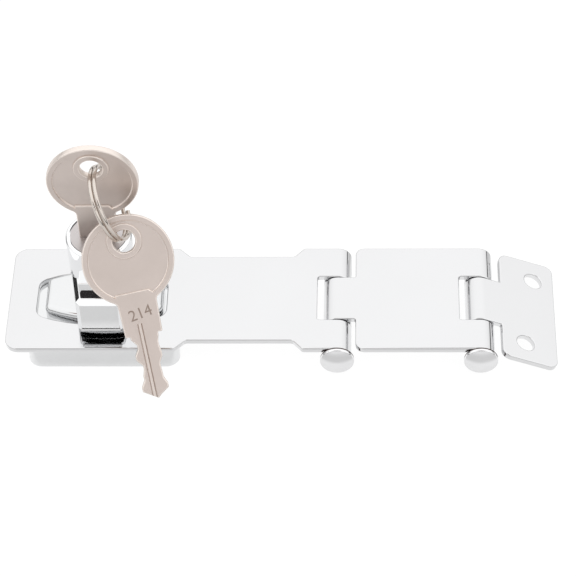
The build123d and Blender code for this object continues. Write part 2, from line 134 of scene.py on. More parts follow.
def add_paper():
    mesh = bpy.data.meshes.new("paper")
    half = floor_size / 2
    corners = [(-half, -half), (half, -half), (half, half), (-half, half)]
    mesh.from_pydata([(x, y, -floor_drop) for x, y in corners], [], [(0, 1, 2, 3)])
    paper = bpy.data.objects.new("paper", mesh)
    bpy.context.scene.collection.objects.link(paper)
    material = bpy.data.materials.new("paper")
    material.use_nodes = True
    tree = material.node_tree
    tree.nodes.clear()
    place = add_node(tree, "ShaderNodeTexCoord").outputs["Object"]
    fibre = add_node(tree, "ShaderNodeTexNoise", {"Vector": place, "Scale": fibre_size})
    bump = add_node(tree, "ShaderNodeBump", {
        "Strength": fibre_strength, "Height": fibre.outputs["Fac"],
    })
    split = add_node(tree, "ShaderNodeSeparateXYZ", {"Vector": place})
    # For rays that the chrome mirrors, the paper glows in bands that dim away from the lock across
    # y: painted light for the chrome to mirror. Camera rays see it evenly white.
    aside = add_node(tree, "ShaderNodeMath", {0: split.outputs["Y"]}, operation="ABSOLUTE")
    reach = add_node(tree, "ShaderNodeMath", {
        0: aside.outputs["Value"], 1: mirrored_reach,
    }, operation="DIVIDE")
    mirrored = add_ramp(tree, reach.outputs["Value"], mirrored_steps)
    seen = add_node(tree, "ShaderNodeLightPath").outputs["Is Camera Ray"]
    tone = mix_colours(tree, seen, mirrored, (paper_glow, paper_glow, paper_glow))
    glow = add_node(tree, "ShaderNodeEmission", {"Color": tone})
    white = add_node(tree, "ShaderNodeMix", {"Factor": seen, "A": mirrored_white, "B": paper_white})
    diffuse = add_node(tree, "ShaderNodeBsdfDiffuse", {
        "Color": white.outputs["Result"], "Normal": bump.outputs["Normal"],
    })
    both = add_node(tree, "ShaderNodeAddShader", {
        0: glow.outputs["Emission"], 1: diffuse.outputs["BSDF"],
    })
    add_node(tree, "ShaderNodeOutputMaterial", {"Surface": both.outputs["Shader"]})
    mesh.materials.append(material)

def hang_tent():
    world = bpy.data.worlds.new("tent")
    bpy.context.scene.world = world
    world.use_nodes = True
    tree = world.node_tree
    tree.nodes.clear()
    way = add_node(tree, "ShaderNodeTexCoord").outputs["Generated"]
    height = add_node(tree, "ShaderNodeSeparateXYZ", {"Vector": way}).outputs["Z"]
    cloth = add_ramp(tree, height, tent_steps)
    squeezed = add_node(tree, "ShaderNodeVectorMath", {
        0: way, 1: opening_squeeze,
    }, operation="MULTIPLY")
    away = add_node(tree, "ShaderNodeVectorMath", {
        0: squeezed.outputs["Vector"], 1: opening_way,
    }, operation="DISTANCE")
    opening = add_ramp(tree, away.outputs["Value"], opening_steps)
    mirrored = mix_colours(tree, 1.0, cloth, opening, "MULTIPLY")
    seen = add_node(tree, "ShaderNodeLightPath").outputs["Is Camera Ray"]
    tone = mix_colours(tree, seen, mirrored, (tent_seen, tent_seen, tent_seen))
    background = add_node(tree, "ShaderNodeBackground", {"Color": tone})
    add_node(tree, "ShaderNodeOutputWorld", {"Surface": background.outputs["Background"]})


add_paper()
hang_tent()


# Base
# A zinc die casting, chrome plated: an open-bottomed tray with a bowed boss on top that fills
# the hasp's slot. Its four countersunk screw holes go down through posts inside the tray.
mm = 0.001
_, base_high = (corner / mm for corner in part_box("base"))
tray_half_x = base_high.x
tray_half_y = base_high.y
tray_height = 6.5
tray_wall = 1.5
tray_corner = 3.0
tray_edge = 0.3
boss_length = 25.8
boss_end_width = 9.0
boss_middle_width = 14.4
boss_corner = 1.5
boss_edge = 1.4
hub_radius = 7.6
hub_foot = 2.6
bore_radius = 5.55
screw_inset = Vector((3.6, 3.5))
screw_post_radius = 3.0
screw_hole_radius = 1.6
screw_head_radius = 2.8
screw_head_depth = 1.2
bolt_seat = (4.5, 7.1, -1.65, 1.65, 3.6, 6.12)
boss_edge_steps = 7
hollow_edge = 0.4
roof_overlap = 0.5
merge_reach = 1e-4
slit_width = 1e-3
level_angle = 0.004
scuff_share = 0.2
ripple_height = 0.00005


def rounded(corners, step_angle=12):
    """An outline from corners (x, y, radius), each turned into an arc that its two sides allow."""
    points = []
    for i, (x, y, radius) in enumerate(corners):
        here = Vector((x, y))
        back = Vector(corners[i - 1][:2]) - here
        ahead = Vector(corners[(i + 1) % len(corners)][:2]) - here
        half_angle = back.angle(ahead) / 2
        room = 0.45 * min(back.length, ahead.length)
        cut = min(radius / math.tan(half_angle), room) if radius else 0
        if cut < 1e-4:
            points.append((x, y))
            continue
        start = here + back.normalized() * cut
        end = here + ahead.normalized() * cut
        true_radius = cut * math.tan(half_angle)
        middle = (back.normalized() + ahead.normalized()).normalized()
        centre = here + middle * (cut / math.cos(half_angle))
        turn = math.pi - 2 * half_angle
        steps = max(2, math.ceil(math.degrees(turn) / step_angle))
        first = start - centre
        side = 1 if first.cross(end - centre) > 0 else -1
        for k in range(steps + 1):
            swing = Matrix.Rotation(side * turn * k / steps, 2)
            points.append(tuple(centre + swing @ first.normalized() * true_radius))
    return points


def circle(x, y, radius, steps=64):
    angles = [2 * math.pi * k / steps for k in range(steps)]
    return [(x + radius * math.cos(a), y + radius * math.sin(a)) for a in angles]


def bowed(length, end_width, middle_width, corner, shift=0.0):
    """A rectangle whose long sides bow outwards, as corners for rounded()."""
    half = length / 2
    rise = (middle_width - end_width) / 2
    bow_radius = (half**2 + rise**2) / (2 * rise)
    drop = bow_radius - middle_width / 2
    spread = [half * share for share in (-0.72, -0.5, -0.25, 0, 0.25, 0.5, 0.72)]
    arc = [(x, math.sqrt(bow_radius**2 - x**2) - drop) for x in spread]
    front = [(x + shift, -y, 0) for x, y in arc]
    back = [(x + shift, y, 0) for x, y in reversed(arc)]
    left, right_end, y_end = shift - half, shift + half, end_width / 2
    return (
        [(left, -y_end, corner)] + front + [(right_end, -y_end, corner), (right_end, y_end, corner)]
        + back + [(left, y_end, corner)]
    )


def made_plain(thing):
    """The mesh of a curve, or of an object with its live modifiers."""
    view = bpy.context.evaluated_depsgraph_get()
    return bpy.data.meshes.new_from_object(thing.evaluated_get(view))

def settle(piece):
    """Turns a piece and its live modifiers into a plain mesh."""
    mesh = made_plain(piece)
    piece.modifiers.clear()
    piece.data = mesh
    return piece


def close_slits(piece):
    """Fills the slits that a cut can leave open in a piece."""
    shape = bmesh.new()
    shape.from_mesh(piece.data)
    bmesh.ops.remove_doubles(shape, verts=shape.verts, dist=slit_width)
    bmesh.ops.holes_fill(shape, edges=[e for e in shape.edges if e.is_boundary])
    bmesh.ops.recalc_face_normals(shape, faces=shape.faces)
    shape.to_mesh(piece.data)
    shape.free()


def add_solid(name, mesh):
    """A mesh as an object, its doubles merged and its faces turned outwards."""
    shape = bmesh.new()
    shape.from_mesh(mesh)
    bmesh.ops.remove_doubles(shape, verts=shape.verts, dist=merge_reach)
    bmesh.ops.dissolve_degenerate(shape, edges=shape.edges, dist=1e-5)
    bmesh.ops.recalc_face_normals(shape, faces=shape.faces)
    shape.to_mesh(mesh)
    shape.free()
    solid = bpy.data.objects.new(name, mesh)
    bpy.context.scene.collection.objects.link(solid)
    return solid


def plate(name, outer, holes, low, high, edge, edge_steps=2):
    """A flat solid from its outline and holes, with its edges rounded."""
    curve = bpy.data.curves.new(name, "CURVE")
    curve.dimensions = "2D"
    curve.fill_mode = "BOTH"
    for loop, outside in [(outer, True)] + [(hole, False) for hole in holes]:
        area = sum(a[0] * b[1] - b[0] * a[1] for a, b in zip(loop, loop[1:] + loop[:1]))
        ordered = loop if (area > 0) == outside else loop[::-1]
        spline = curve.splines.new("POLY")
        spline.points.add(len(ordered) - 1)
        for point, (x, y) in zip(spline.points, ordered):
            point.co = (x, y, 0, 1)
        spline.use_cyclic_u = True
    curve.extrude = (high - low) / 2 - edge
    curve.bevel_depth = edge
    curve.bevel_resolution = edge_steps
    curve.offset = -edge
    flat = bpy.data.objects.new(name, curve)
    bpy.context.scene.collection.objects.link(flat)
    mesh = made_plain(flat)
    mesh.transform(Matrix.Translation((0, 0, (low + high) / 2)))
    bpy.data.objects.remove(flat)
    return add_solid(name, mesh)


def turned(name, profile, steps=96):
    """A solid of revolution about the vertical axis from (radius, height) points."""
    shape = bmesh.new()
    rings = []
    angles = [2 * math.pi * k / steps for k in range(steps)]
    for radius, height in profile:
        if radius < 1e-6:
            rings.append([shape.verts.new((0, 0, height))] * steps)
            continue
        places = [(radius * math.cos(a), radius * math.sin(a), height) for a in angles]
        rings.append([shape.verts.new(place) for place in places])
    closed = profile[0][0] > 1e-6
    for i in range(len(rings) if closed else len(rings) - 1):
        here, there = rings[i], rings[(i + 1) % len(rings)]
        for k in range(steps):
            n = (k + 1) % steps
            corners = list(dict.fromkeys([here[k], here[n], there[n], there[k]]))
            if len(corners) > 2:
                shape.faces.new(corners)
    mesh = bpy.data.meshes.new(name)
    shape.to_mesh(mesh)
    shape.free()
    return add_solid(name, mesh)


def combine(piece, tool, way, solver="EXACT"):
    """Joins a solid to a piece (UNION) or cuts it away (DIFFERENCE)."""
    change = piece.modifiers.new("change", "BOOLEAN")
    change.operation = way
    change.solver = solver
    change.object = tool
    settle(piece)
    bpy.data.objects.remove(tool)
    return piece


def rod(radius, low, high, x=0.0, y=0.0, steps=64):
    tool = turned("rod", [(0, low), (radius, low), (radius, high), (0, high)], steps)
    tool.data.transform(Matrix.Translation((x, y, 0)))
    return tool


def block(x0, x1, y0, y1, z0, z1):
    corners = [(x0, y0), (x1, y0), (x1, y1), (x0, y1)]
    points = [(x, y, z) for z in (z0, z1) for x, y in corners]
    faces = [(3, 2, 1, 0), (4, 5, 6, 7), (0, 1, 5, 4), (1, 2, 6, 5), (2, 3, 7, 6), (3, 0, 4, 7)]
    mesh = bpy.data.meshes.new("block")
    mesh.from_pydata(points, [], faces)
    return add_solid("block", mesh)


def make_group(name, inputs, outputs):
    """A shader group with named number inputs and outputs."""
    group = bpy.data.node_groups.new(name, "ShaderNodeTree")
    for label, value in inputs:
        socket = group.interface.new_socket(label, in_out="INPUT", socket_type="NodeSocketFloat")
        socket.default_value = value
    for label in outputs:
        group.interface.new_socket(label, in_out="OUTPUT", socket_type="NodeSocketFloat")
    return group, group.nodes.new("NodeGroupInput").outputs

def add_noise(tree, place, size, detail, roughness=0.5):
    values = {"Vector": place, "Scale": size, "Detail": detail, "Roughness": roughness}
    return add_node(tree, "ShaderNodeTexNoise", values).outputs["Fac"]

def build_plating():
    """Plated metal's small unevenness: broad haze in the polish, and fine hairlines."""
    inputs = [
        ("Haze size", 60.0), ("Hairline size", 700.0), ("Hairline stretch", 0.06),
        ("Ripple size", 400.0),
    ]
    group, given = make_group("plating", inputs, ["Haze", "Hairlines", "Ripple"])
    place = add_node(group, "ShaderNodeTexCoord").outputs["Object"]
    stretch = add_node(group, "ShaderNodeCombineXYZ", {
        "X": given["Hairline stretch"], "Y": 1, "Z": 1,
    })
    squeeze = add_node(group, "ShaderNodeVectorMath", {
        0: place, 1: stretch.outputs["Vector"],
    }, operation="MULTIPLY")
    thin = add_node(group, "ShaderNodeMapRange", {
        "Value": add_noise(group, squeeze.outputs["Vector"], given["Hairline size"], 4, 0.7),
        "From Min": 0.58, "From Max": 0.72,
    })
    add_node(group, "NodeGroupOutput", {
        "Haze": add_noise(group, place, given["Haze size"], 3),
        "Hairlines": thin.outputs["Result"],
        "Ripple": add_noise(group, place, given["Ripple size"], 2),
    })
    return group


plating = build_plating()


def plated(name, colours, roughness, ripple_strength, hairline_strength=0.3, sizes=None):
    """A plated metal whose tone and gloss drift between two values over the surface."""
    material = bpy.data.materials.new(name)
    material.use_nodes = True
    tree = material.node_tree
    finish = add_node(tree, "ShaderNodeGroup", sizes, node_tree=plating).outputs
    gloss = add_node(tree, "ShaderNodeMapRange", {
        "Value": finish["Haze"], "From Min": 0.3, "From Max": 0.7,
        "To Min": roughness[0], "To Max": roughness[1],
    })
    scuff = add_node(tree, "ShaderNodeMath", {
        0: finish["Hairlines"], 1: hairline_strength * scuff_share, 2: gloss.outputs["Result"],
    }, operation="MULTIPLY_ADD")
    bump = add_node(tree, "ShaderNodeBump", {
        "Strength": ripple_strength, "Distance": ripple_height, "Height": finish["Ripple"],
    })
    feed(tree, tree.nodes["Principled BSDF"], {
        "Metallic": 1, "Base Color": mix_colours(tree, finish["Haze"], *colours),
        "Roughness": scuff.outputs["Value"], "Normal": bump.outputs["Normal"],
    })
    return material


def shade_evenly(mesh, sharp):
    """Gives each corner the normal of the widest flat that joins it, so flats stay flat."""
    shape = bmesh.new()
    shape.from_mesh(mesh)
    shape.faces.ensure_lookup_table()
    flat_of = [-1] * len(shape.faces)
    flats = []
    for seed in shape.faces:
        if flat_of[seed.index] >= 0:
            continue
        flat_of[seed.index] = len(flats)
        members = [seed]
        area = 0.0
        normal = Vector()
        while members:
            face = members.pop()
            area += face.calc_area()
            normal += face.normal * face.calc_area()
            for edge in face.edges:
                for other in edge.link_faces:
                    if flat_of[other.index] >= 0:
                        continue
                    if other.normal.angle(seed.normal, 1.0) < level_angle:
                        flat_of[other.index] = len(flats)
                        members.append(other)
        flats.append((area, normal.normalized() if normal.length else seed.normal))
    normals = [Vector((0, 0, 1))] * len(mesh.loops)
    for vertex in shape.verts:
        waiting = set(vertex.link_faces)
        while waiting:
            fan = [waiting.pop()]
            for face in fan:
                for edge in face.edges:
                    joined = vertex in edge.verts and len(edge.link_faces) == 2
                    if joined and edge.calc_face_angle(0) < sharp:
                        for other in edge.link_faces:
                            if other in waiting:
                                waiting.discard(other)
                                fan.append(other)
            total = Vector()
            for flat in {flat_of[face.index] for face in fan}:
                total += flats[flat][1] * flats[flat][0]
            for face in fan:
                for loop in face.loops:
                    if loop.vert is vertex:
                        normals[loop.index] = total.normalized()
    shape.free()
    mesh.normals_split_custom_set(normals)


def dress(piece, material, body, nodes, sharp=32):
    """Brings a finished shape to metres, gives it its material, smooths its faces, hangs it on its
    body and hides the CAD nodes that it replaces.
    """
    piece.data.transform(Matrix.Scale(mm, 4))
    piece.data.materials.clear()
    piece.data.materials.append(material)
    for face in piece.data.polygons:
        face.use_smooth = True
        face.material_index = 0
    shade_evenly(piece.data, math.radians(sharp))
    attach(piece, body)
    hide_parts(*nodes)
    return piece


cast_chrome = plated(
    "cast_chrome", [(0.69, 0.695, 0.70), (0.73, 0.735, 0.74)], (0.05, 0.09), 0.10,
    sizes={"Haze size": 180.0, "Ripple size": 260.0},
)


def make_base():
    corners = [(-1, -1), (1, -1), (1, 1), (-1, 1)]
    tray = rounded([(sx * tray_half_x, sy * tray_half_y, tray_corner) for sx, sy in corners])
    base = plate("base_casting", tray, [], 0, tray_height, tray_edge)
    x, y = tray_half_x - tray_wall, tray_half_y - tray_wall
    inner = rounded([(sx * x, sy * y, tray_corner - tray_wall) for sx, sy in corners])
    boss = rounded(bowed(boss_length, boss_end_width, boss_middle_width, boss_corner))
    boss_low = 2 * tray_height - base_high.z
    boss = plate("boss", boss, [], boss_low, base_high.z, boss_edge, boss_edge_steps)
    combine(base, boss, "UNION")
    hollow = plate("hollow", inner, [], -2, tray_height - tray_wall, hollow_edge)
    combine(base, hollow, "DIFFERENCE")
    post_top = tray_height - roof_overlap
    combine(base, rod(hub_radius, hub_foot, post_top), "UNION")
    screw_x, screw_y = tray_half_x - screw_inset.x, tray_half_y - screw_inset.y
    places = [(sx * screw_x, sy * screw_y) for sx in (-1, 1) for sy in (-1, 1)]
    for px, py in places:
        combine(base, rod(screw_post_radius, 0, post_top, px, py, 32), "UNION")
    combine(base, rod(bore_radius, -1, base_high.z + 1, steps=96), "DIFFERENCE")
    combine(base, block(*bolt_seat), "DIFFERENCE")
    x0, x1, y0, y1, z0, z1 = bolt_seat
    combine(base, block(y0, y1, -x1, -x0, z0, z1), "DIFFERENCE")
    for px, py in places:
        sink = turned("sink", [
            (0, -1), (screw_hole_radius, -1), (screw_hole_radius, tray_height - screw_head_depth),
            (screw_head_radius, tray_height), (screw_head_radius, tray_height + 1),
            (0, tray_height + 1),
        ], 32)
        sink.data.transform(Matrix.Translation((px, py, 0)))
        combine(base, sink, "DIFFERENCE")
    return dress(base, cast_chrome, "base", ["base"])


make_base()


# Leaves
# 1.4 mm sheet steel, blanked flat with the slot and the screw holes and tumbled so that the edges
# are round, then rolled into knuckles round the hinge pins and chrome plated.
leaf_low = tray_height
leaf_high = 7.9
leaf_edge = 0.3
leaf_half_width = 15.0
leaf_corner = 2.0
head_left = -21.15
head_right = 15.65
head_corner = 3.0
strap_left = 18.15
strap_right = 41.35
strap_flare_end = 43.55
strap_half_width = 12.5
strap_bend = 1.0
hinge_1_x = 51.05
hinge_2_x = 82.15
hinge_axis_z = 4.8
curl_angle = 295.0
curl_step = 7.0
centre_knuckle_half = 6.2
notch_half = 6.4
notch_behind_barrel = 4.4
leaf_setback = 3.95
end_leaf_length = 17.0
end_leaf_droop = 22.0276
end_leaf_holes = [(12.05, 9.3), (9.5, -9.9)]
end_leaf_hole_radius = 2.05
slot_centre_x = -0.7
slot_size = (28.5, 10.2, 16.0, 2.6)
middle_height = (leaf_low + leaf_high) / 2
roll_radius = middle_height - hinge_axis_z
curl_length = roll_radius * math.radians(curl_angle)

sheet_chrome = plated(
    "sheet_chrome", [(0.69, 0.69, 0.695), (0.72, 0.722, 0.73)], (0.035, 0.07), 0.05,
    sizes={"Haze size": 45.0, "Ripple size": 150.0},
)


def start_tree(name, numbers, result, blank=None):
    """A modifier's node tree: named number inputs, a finish, and the mesh that it puts out."""
    tree = bpy.data.node_groups.new(name, "GeometryNodeTree")
    inputs = [(blank, "NodeSocketGeometry")] if blank else []
    inputs += [(label, "NodeSocketFloat") for label in numbers]
    for label, kind in inputs + [("Finish", "NodeSocketMaterial")]:
        tree.interface.new_socket(label, in_out="INPUT", socket_type=kind)
    tree.interface.new_socket(result, in_out="OUTPUT", socket_type="NodeSocketGeometry")
    return tree, tree.nodes.new("NodeGroupInput").outputs

def end_tree(tree, shape, finish, result):
    """Makes the shape real, gives it its finish and puts it out."""
    real = add_node(tree, "GeometryNodeRealizeInstances", {"Geometry": shape}).outputs["Geometry"]
    done = add_node(tree, "GeometryNodeSetMaterial", {"Geometry": real, "Material": finish})
    add_node(tree, "NodeGroupOutput", {result: done.outputs["Geometry"]})
    return tree

def calculator(tree):
    """A function that adds one step of arithmetic to a node tree."""
    def work(way, *values):
        step = add_node(tree, "ShaderNodeMath", dict(enumerate(values)), operation=way)
        return step.outputs["Value"]
    return work

def build_roll():
    """Rolls whatever lies beyond the hinge line round the hinge's axis."""
    numbers = ("Hinge X", "Axis Z", "Middle Z", "Roll radius", "Side")
    tree, given = start_tree("roll_sheet", numbers, "Leaf", "Blank")
    work = calculator(tree)
    place = add_node(tree, "GeometryNodeInputPosition").outputs["Position"]
    here = add_node(tree, "ShaderNodeSeparateXYZ", {"Vector": place}).outputs
    along = work("MULTIPLY", work("SUBTRACT", here["X"], given["Hinge X"]), given["Side"])
    turn = work("DIVIDE", along, given["Roll radius"])
    radius = work("ADD", work("SUBTRACT", here["Z"], given["Middle Z"]), given["Roll radius"])
    reach = work("MULTIPLY", work("MULTIPLY", radius, work("SINE", turn)), given["Side"])
    rolled = add_node(tree, "ShaderNodeCombineXYZ", {
        "X": work("ADD", given["Hinge X"], reach), "Y": here["Y"],
        "Z": work("MULTIPLY_ADD", radius, work("COSINE", turn), given["Axis Z"]),
    })
    move = add_node(tree, "GeometryNodeSetPosition", {
        "Geometry": given["Blank"], "Selection": work("GREATER_THAN", along, 0.0),
        "Position": rolled.outputs["Vector"],
    })
    return end_tree(tree, move.outputs["Geometry"], given["Finish"], "Leaf")


roll_sheet = build_roll()


def set_inputs(modifier, values):
    """Sets a node modifier's inputs by their names."""
    for item in modifier.node_group.interface.items_tree:
        if item.in_out == "INPUT" and item.name in values:
            modifier[item.identifier] = values[item.name]


def score(piece, hinge_x, side):
    """Cuts a blank's faces across at every small step of the curl, so that it can be rolled."""
    shape = bmesh.new()
    shape.from_mesh(piece.data)
    steps = round(curl_angle / curl_step)
    for k in range(steps):
        bmesh.ops.bisect_plane(
            shape, geom=shape.verts[:] + shape.edges[:] + shape.faces[:], dist=1e-5,
            plane_co=(hinge_x + side * curl_length * k / steps, 0, 0), plane_no=(1, 0, 0),
        )
    shape.to_mesh(piece.data)
    shape.free()


def roll(piece, hinge_x, side):
    score(piece, hinge_x, side)
    modifier = piece.modifiers.new("roll", "NODES")
    modifier.node_group = roll_sheet
    set_inputs(modifier, {
        "Hinge X": hinge_x, "Axis Z": hinge_axis_z, "Middle Z": middle_height,
        "Roll radius": roll_radius, "Side": float(side), "Finish": sheet_chrome,
    })
    return settle(piece)


def outer_knuckle_edge(hinge_x):
    """The right-hand edge of a leaf: two tabs to be rolled, and the notch between them."""
    tab = hinge_x + curl_length
    notch = hinge_x - notch_behind_barrel
    return [
        (tab, -leaf_half_width, 0.2), (tab, -notch_half, 0), (notch, -notch_half, 0.4),
        (notch, notch_half, 0.4), (tab, notch_half, 0), (tab, leaf_half_width, 0.2),
    ]


def centre_knuckle_edge(hinge_x):
    """The left-hand edge of a leaf: the centre tab to be rolled, between two round corners."""
    left = hinge_x + leaf_setback
    tab = hinge_x - curl_length
    y = centre_knuckle_half
    return [
        (left, leaf_half_width, leaf_corner), (left, y, 0.3), (tab, y, 0), (tab, -y, 0),
        (left, -y, 0.3), (left, -leaf_half_width, leaf_corner),
    ]

def make_hasp_leaf():
    front = [
        (head_left, -leaf_half_width, head_corner), (head_right, -leaf_half_width, strap_bend),
        (strap_left, -strap_half_width, strap_bend), (strap_right, -strap_half_width, strap_bend),
        (strap_flare_end, -leaf_half_width, strap_bend),
    ]
    back = [(x, -y, radius) for x, y, radius in reversed(front)]
    slot = rounded(bowed(*slot_size, shift=slot_centre_x))
    outline = rounded(front + outer_knuckle_edge(hinge_1_x) + back)
    leaf = plate("hasp", outline, [slot], leaf_low, leaf_high, leaf_edge)
    roll(leaf, hinge_1_x, 1)
    return dress(leaf, sheet_chrome, "hasp_leaf", ["hasp_leaf"])


def make_middle_leaf():
    outline = rounded(outer_knuckle_edge(hinge_2_x) + centre_knuckle_edge(hinge_1_x))
    leaf = plate("middle", outline, [], leaf_low, leaf_high, leaf_edge)
    roll(leaf, hinge_2_x, 1)
    roll(leaf, hinge_1_x, -1)
    return dress(leaf, sheet_chrome, "middle_leaf", ["middle_leaf"])


def make_end_leaf():
    right_end = hinge_2_x + end_leaf_length
    corners = [(right_end, side * leaf_half_width, leaf_corner) for side in (-1, 1)]
    outline = rounded(corners + centre_knuckle_edge(hinge_2_x))
    holes = [circle(hinge_2_x + x, y, end_leaf_hole_radius, 48) for x, y in end_leaf_holes]
    leaf = plate("end", outline, holes, leaf_low, leaf_high, leaf_edge)
    roll(leaf, hinge_2_x, -1)
    axis = Vector((hinge_2_x, 0, hinge_axis_z))
    turn = Matrix.Rotation(math.radians(end_leaf_droop), 4, "Y")
    leaf.data.transform(Matrix.Translation(axis) @ turn @ Matrix.Translation(-axis))
    return dress(leaf, sheet_chrome, "end_leaf", ["end_leaf"])


make_hasp_leaf()
make_middle_leaf()
make_end_leaf()


# Hinge pins
# Turned steel, chrome plated. Each goes in from the front and has one domed head there.
pin_radius = 1.65
pin_head_radius = 3.7
pin_head_y = -15.15
pin_head_height = 1.7
pin_head_round = 0.38
pin_head_slope = math.radians(23.6)
# The band at the back of each pin head, crevice_depth high, is darkened with the tone below:
# painted shade for the shadowed gap between head and knuckle.
crevice_depth = 0.4
crevice_shade_tone = (0.055, 0.035, 0.028)
pin_tail_cut = 0.25
pin_head_cut = 0.1

# The same chrome plating as the leaves, set to a lighter tone: painted light on the pins.
pin_chrome = plated(
    "pin_chrome", [(0.76, 0.76, 0.765), (0.84, 0.84, 0.85)], (0.08, 0.16), 0.1,
    sizes={"Haze size": 250.0, "Ripple size": 500.0},
)


def paint_crevice_shade(material):
    """Painted shade: a dark brown band round the back of the head, where the gap to the knuckle
    lies in shadow.
    """
    tree = material.node_tree
    metal = tree.nodes["Principled BSDF"]
    clean = metal.inputs["Base Color"].links[0].from_socket
    crevice_shade = add_node(tree, "ShaderNodeAttribute", attribute_name="crevice_shade").outputs["Fac"]
    feed(tree, metal, {"Base Color": mix_colours(tree, crevice_shade, clean, crevice_shade_tone)})


paint_crevice_shade(pin_chrome)


def make_pin(number, hinge_x, body):
    round_centre = pin_head_radius - pin_head_round
    dome_radius = round_centre + pin_head_round * math.sin(pin_head_slope)
    dome_height = dome_radius * math.tan(pin_head_slope / 2)
    crown = -pin_head_y + pin_head_height
    dome_foot = crown - dome_height
    round_foot = dome_foot - pin_head_round * math.cos(pin_head_slope)
    bend = dome_radius / math.sin(pin_head_slope)
    head = []
    for k in range(9):
        a = math.pi / 2 + (pin_head_slope - math.pi / 2) * k / 8
        out, rise = pin_head_round * math.sin(a), pin_head_round * math.cos(a)
        head.append((round_centre + out, round_foot + rise))
    for k in range(1, 13):
        a = pin_head_slope * (1 - k / 12)
        rise = bend * (math.cos(a) - math.cos(pin_head_slope))
        head.append((bend * math.sin(a), dome_foot + rise))
    head_foot = -pin_head_y
    profile = [
        (0, -leaf_half_width), (pin_radius - pin_tail_cut, -leaf_half_width),
        (pin_radius, pin_tail_cut - leaf_half_width), (pin_radius, head_foot),
        (pin_head_radius - pin_head_cut, head_foot), (pin_head_radius, head_foot + pin_head_cut),
        (pin_head_radius, head_foot + crevice_depth), *head,
    ]
    pin = turned(f"pin_{number}", profile, 64)
    # Painted shade: faces at the back of the head's rim are marked for the dark band.
    crevice_shade = pin.data.attributes.new("crevice_shade", "FLOAT", "FACE")
    for face in pin.data.polygons:
        x, y, height = face.center
        if math.hypot(x, y) > round_centre and height < head_foot + crevice_depth:
            crevice_shade.data[face.index].value = 1
    lay = Matrix.Rotation(math.radians(90), 4, "X")
    pin.data.transform(Matrix.Translation((hinge_x, 0, hinge_axis_z)) @ lay)
    return dress(pin, pin_chrome, body, [f"hinge_pin_{number}"])


make_pin(1, hinge_1_x, "hasp_leaf")
make_pin(2, hinge_2_x, "middle_leaf")


# Knob
# A zinc casting, chrome plated: a barrel with two bevelled wings and a shaft down through the
# boss. The barrel is bored for the plug, and the shaft is slotted for the locking bolt.
knob_foot = 10.1
knob_rim = 28.0
barrel_foot_radius = 6.8
barrel_top_radius = 7.15
wing_corners = [
    (4.8, -11.9), (6.3, -3.0), (6.3, 3.0), (4.8, 11.9),
    (-4.8, 11.9), (-6.3, 3.0), (-6.3, -3.0), (-4.8, -11.9),
]
wing_corner_cut = 0.7
wing_top = 19.4
wing_top_cut = 1.0
wing_end_drop = 0.35
wing_side_rise = 0.03
foot_bead = (0.4, 11.7, 10.5, 4.3)
wing_foot_cut = 0.3
shoulder_block = (-4.2, 4.2, -9.6, 9.6, 18.0, 22.6)
shoulder_edge = 0.25
cast_edge = 0.12
plug_bore = 5.35
plug_head_bore = 6.15
plug_shoulder = 26.0
rim_relief = (0.2, 0.9)
chamber_floor = 10.6
shaft_radius = 5.5
shaft_foot = 0.9
clip_groove = (1.65, 2.55, 4.7)
retainer_groove = (14.4, 15.4, 6.05)
wafer_groove = (5.9, 2.45, 15.45)
bolt_pocket = (-3.7, 3.8, -3.06, 3.06, 3.6, 11.1)
bolt_nose_slot = (0, 6.5, -1.56, 1.56, 3.6, 6.12)

# The same chrome plating as the base casting, set to a lighter tone: painted light, so the knob
# reads brighter than the base.
knob_chrome = plated(
    "knob_chrome", [(0.84, 0.845, 0.85), (0.89, 0.895, 0.90)], (0.03, 0.055), 0.06,
    sizes={"Haze size": 120.0, "Ripple size": 220.0},
)


def bevel(shape, edges, width, steps):
    bmesh.ops.bevel(
        shape, geom=edges, offset=width, offset_type="OFFSET", segments=steps, profile=0.5,
        affect="EDGES",
    )

def make_wings():
    """One bar that passes through the barrel, its upper and lower edges bevelled."""
    shape = bmesh.new()
    low = []
    for i, (x, y) in enumerate(wing_corners):
        here = Vector((x, y))
        if abs(y) < 10:
            low.append(here)
            continue
        for other in (wing_corners[i - 1], wing_corners[(i + 1) % len(wing_corners)]):
            low.append(here + (Vector(other) - here).normalized() * wing_corner_cut)
    foot = shape.faces.new([shape.verts.new((x, y, knob_foot)) for x, y in low])
    raised = bmesh.ops.extrude_face_region(shape, geom=[foot])
    top_points = [v for v in raised["geom"] if isinstance(v, bmesh.types.BMVert)]
    bmesh.ops.translate(shape, verts=top_points, vec=(0, 0, wing_top - knob_foot))
    for height, cut in ((wing_top, wing_top_cut), (knob_foot, wing_foot_cut)):
        edges = [e for e in shape.edges if all(abs(v.co.z - height) < 1e-4 for v in e.verts)]
        bevel(shape, edges, cut, 1)
    for vertex in shape.verts:
        if abs(vertex.co.z - (wing_top - wing_top_cut)) < 1e-4:
            at_end = abs(vertex.co.y) > 11.6
            vertex.co.z += -wing_end_drop if at_end else wing_side_rise
    bmesh.ops.recalc_face_normals(shape, faces=shape.faces)
    folds = [e for e in shape.edges if e.calc_face_angle(0) > math.radians(15)]
    bevel(shape, folds, cast_edge, 2)
    mesh = bpy.data.meshes.new("wings")
    shape.to_mesh(mesh)
    shape.free()
    return add_solid("wings", mesh)


